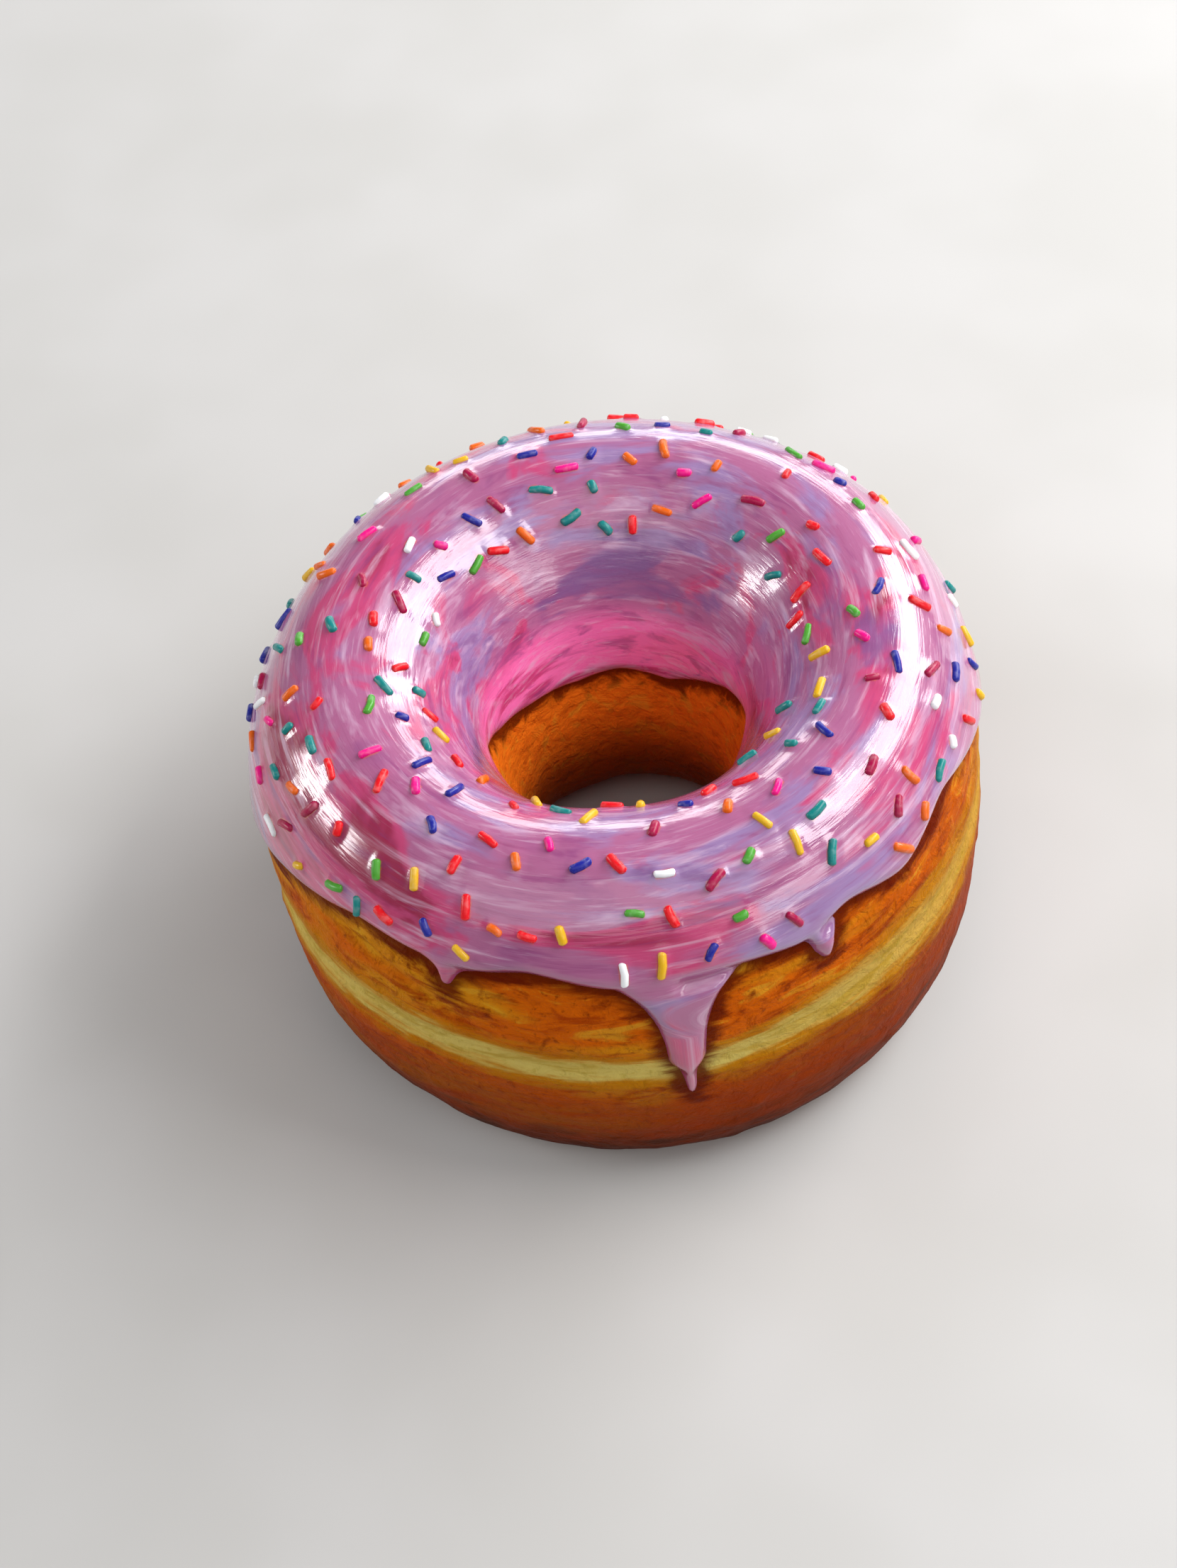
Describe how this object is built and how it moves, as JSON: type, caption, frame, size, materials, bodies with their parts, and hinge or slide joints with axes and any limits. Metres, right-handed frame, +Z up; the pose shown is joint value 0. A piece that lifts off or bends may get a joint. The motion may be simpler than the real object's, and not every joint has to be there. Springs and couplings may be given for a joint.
{
  "type": "doughnut",
  "caption": "Tall ring doughnut with a pale line round its golden crust, glossy pink icing that has run down the front, and sugar strands scattered over the icing.",
  "frame": {"origin": "middle of the doughnut's box, on the surface that it rests on", "axes": "+Z up along the hole, -Y to the front where the icing has run down farthest, +X to the right"},
  "size_m": [0.0999, 0.1035, 0.0564],
  "materials": {
    "crust": "satin",
    "icing": "gloss"
  },
  "bodies": {
    "root": {"dough_ring": "crust", "icing": "icing"}
  },
  "joints": []
}
